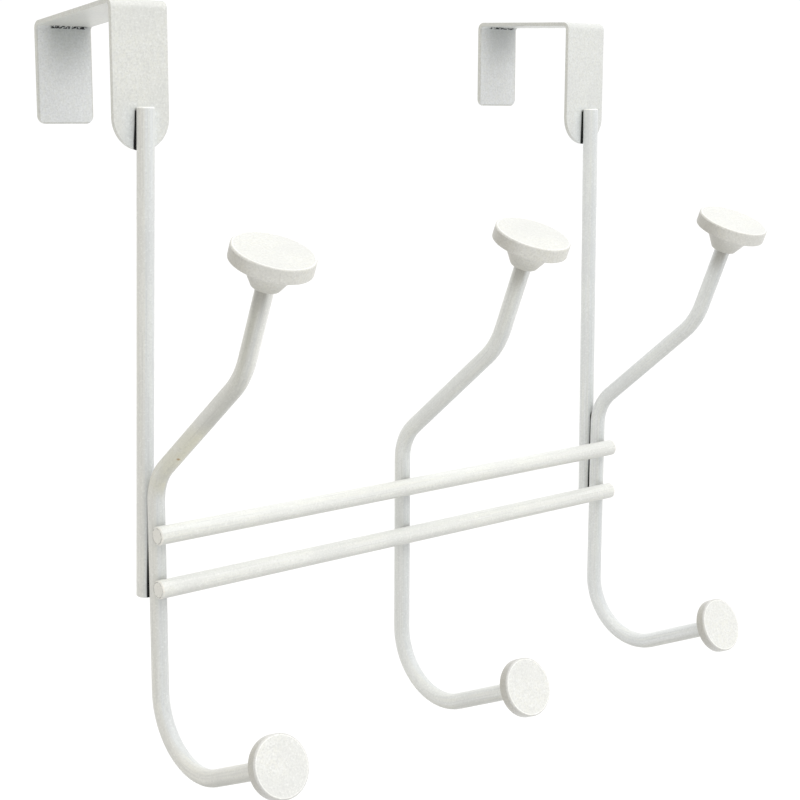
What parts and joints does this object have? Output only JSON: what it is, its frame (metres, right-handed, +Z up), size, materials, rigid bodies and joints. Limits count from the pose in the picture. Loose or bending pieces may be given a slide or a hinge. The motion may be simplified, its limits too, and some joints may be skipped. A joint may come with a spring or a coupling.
{
  "type": "towel rack",
  "caption": "White over-the-door towel rack of welded steel rod with double hooks that end in round knobs, hung by two flat strap brackets.",
  "frame": {"origin": "on the door's top front edge, midway between the two brackets: Z = 0 is where the undersides of the bracket tops meet the plane of the front legs' inner faces, and Y = 0 is that plane", "axes": "+X along the bars to the viewer's right, +Y back through the door, +Z up; the hooks reach out towards -Y"},
  "size_m": [0.2293, 0.1297, 0.2402],
  "materials": {
    "strap_coat": "satin white powder coat on flat steel strap",
    "rod_coat": "satin white powder coat on round steel rod",
    "hook_coat": "satin white powder coat on bent steel rod",
    "knob_coat": "satin white powder coat on turned steel knobs",
    "weld_coat": "white powder coat over weld metal"
  },
  "bodies": {
    "root": {"left_bracket": "strap_coat", "right_bracket": "strap_coat", "left_upright": "rod_coat", "right_upright": "rod_coat", "upper_bar": "rod_coat", "lower_bar": "rod_coat", "left_hook": "hook_coat", "middle_hook": "hook_coat", "right_hook": "hook_coat", "left_top_knob": "knob_coat", "middle_top_knob": "knob_coat", "right_top_knob": "knob_coat", "left_low_knob": "knob_coat", "middle_low_knob": "knob_coat", "right_low_knob": "knob_coat", "bar_welds": "weld_coat", "hook_welds": "weld_coat", "bracket_welds": "weld_coat"}
  },
  "joints": []
}
